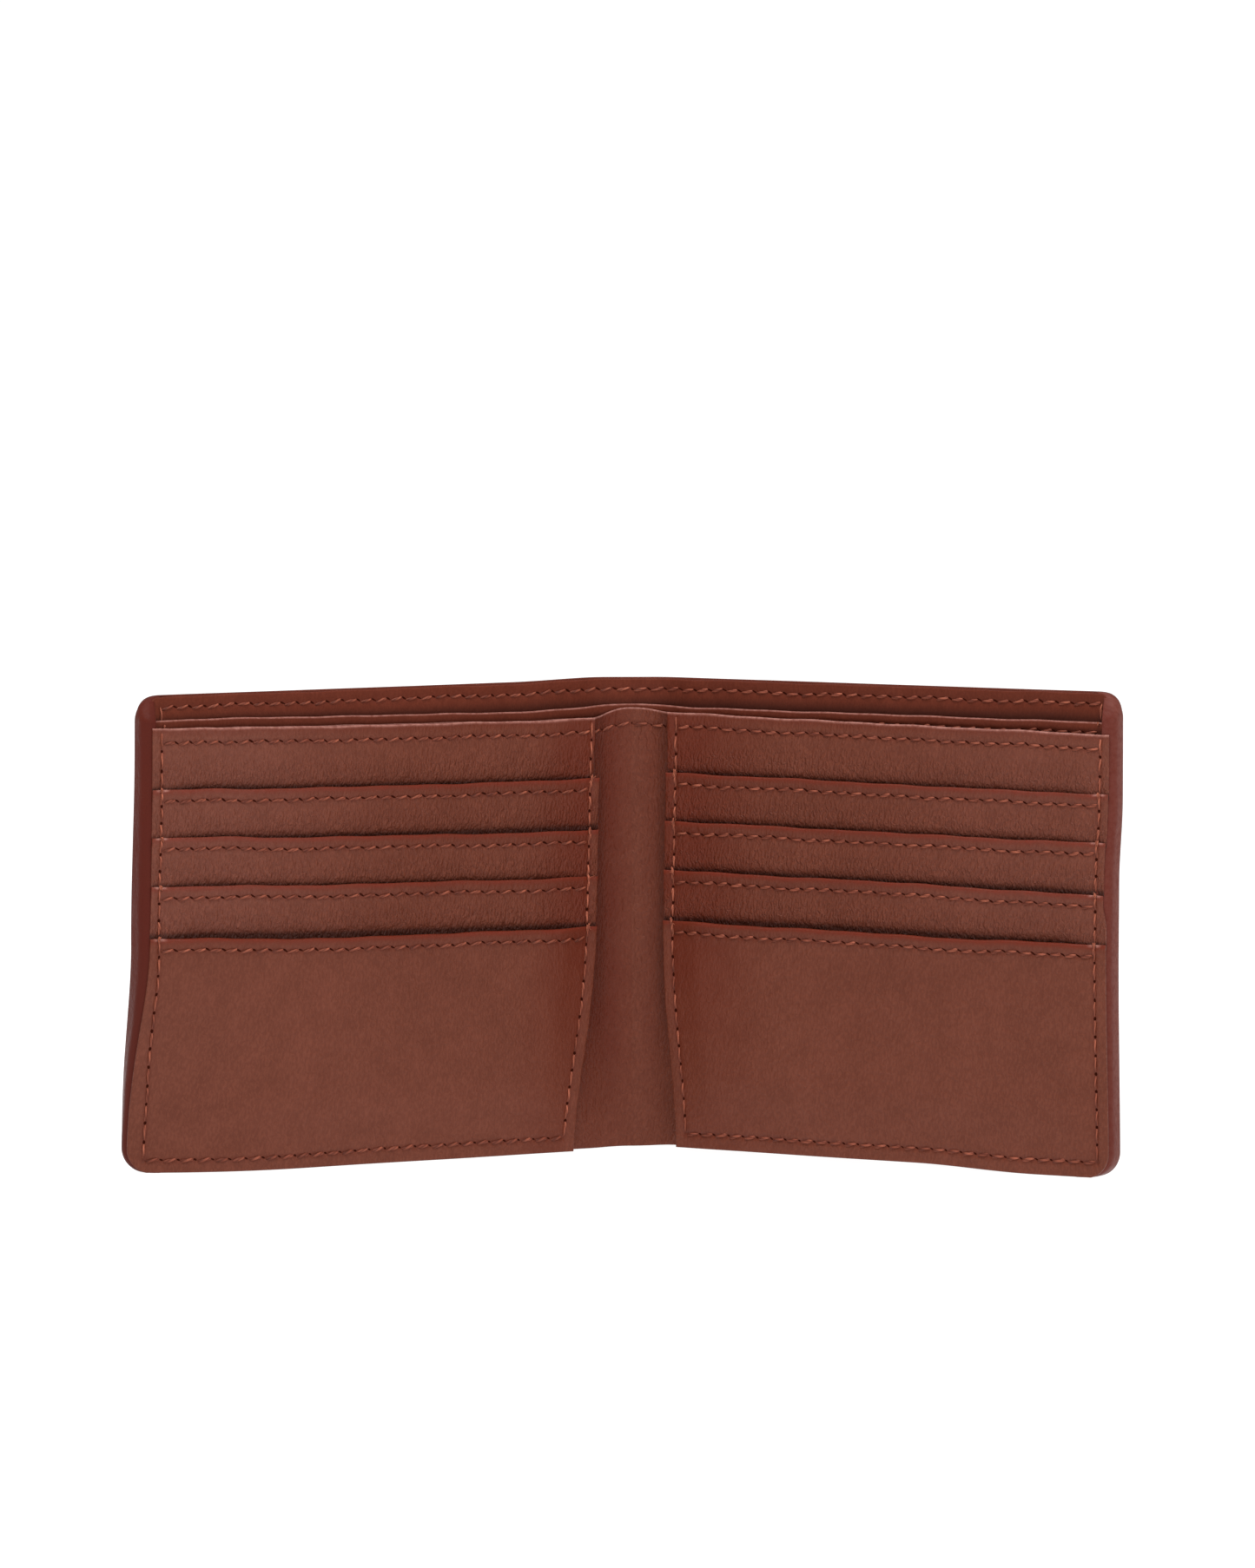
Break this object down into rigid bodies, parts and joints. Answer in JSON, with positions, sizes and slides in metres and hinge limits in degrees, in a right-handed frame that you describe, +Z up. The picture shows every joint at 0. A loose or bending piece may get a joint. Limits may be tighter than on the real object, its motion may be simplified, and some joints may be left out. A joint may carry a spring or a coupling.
{
  "type": "bifold wallet",
  "caption": "Folding leather wallet with stitched card slots on both inner faces, two banknote compartments and a flexible leather spine.",
  "frame": {"origin": "middle of the footprint, on the surface that the lower edge stands on", "axes": "+Z up along the fold, +X along the open wallet from the left half to the right half, the inside of the wallet faces -Y"},
  "size_m": [0.1962, 0.0586, 0.095],
  "materials": {
    "leather": "satin, fine pebble grain",
    "lining_leather": "matte, smooth",
    "board": "matte leather board",
    "thread": "waxed polyester thread"
  },
  "bodies": {
    "spine": {"spine_cover": "leather", "spine_cover_hem_thread": "thread", "spine_divider": "lining_leather", "spine_divider_thread": "thread", "spine_inner_panel": "leather", "spine_lining": "lining_leather", "spine_panel_hem_thread": "thread"},
    "left_half": {"left_card_backing": "leather", "left_card_pocket_1": "leather", "left_card_pocket_2": "leather", "left_card_pocket_3": "leather", "left_cover": "leather", "left_cover_hem_thread": "thread", "left_cover_lining": "lining_leather", "left_divider": "lining_leather", "left_divider_thread": "thread", "left_front_pocket": "leather", "left_inner_panel": "leather", "left_outer_thread": "thread", "left_panel_hem_thread": "thread", "left_panel_thread": "thread", "left_slot_thread_1": "thread", "left_slot_thread_2": "thread", "left_slot_thread_3": "thread", "left_slot_thread_4": "thread", "left_stiffener": "board"},
    "right_half": {"right_card_backing": "leather", "right_card_pocket_1": "leather", "right_card_pocket_2": "leather", "right_card_pocket_3": "leather", "right_cover": "leather", "right_cover_hem_thread": "thread", "right_cover_lining": "lining_leather", "right_divider": "lining_leather", "right_divider_thread": "thread", "right_front_pocket": "leather", "right_inner_panel": "leather", "right_outer_thread": "thread", "right_panel_hem_thread": "thread", "right_panel_thread": "thread", "right_slot_thread_1": "thread", "right_slot_thread_2": "thread", "right_slot_thread_3": "thread", "right_slot_thread_4": "thread", "right_stiffener": "board"}
  },
  "joints": [
    {"name": "left_fold", "type": "hinge", "parent": "spine", "child": "left_half", "pos_m": [-0.0065, 0.02727, 0], "axis": [0, 0, 1], "range_deg": [-30, 59]},
    {"name": "right_fold", "type": "hinge", "parent": "spine", "child": "right_half", "pos_m": [0.0065, 0.02727, 0], "axis": [0, 0, -1], "range_deg": [-30, 59]}
  ],
  "couplings": [
    {"joint": "right_fold", "follows": "left_fold", "ratio": 1}
  ]
}
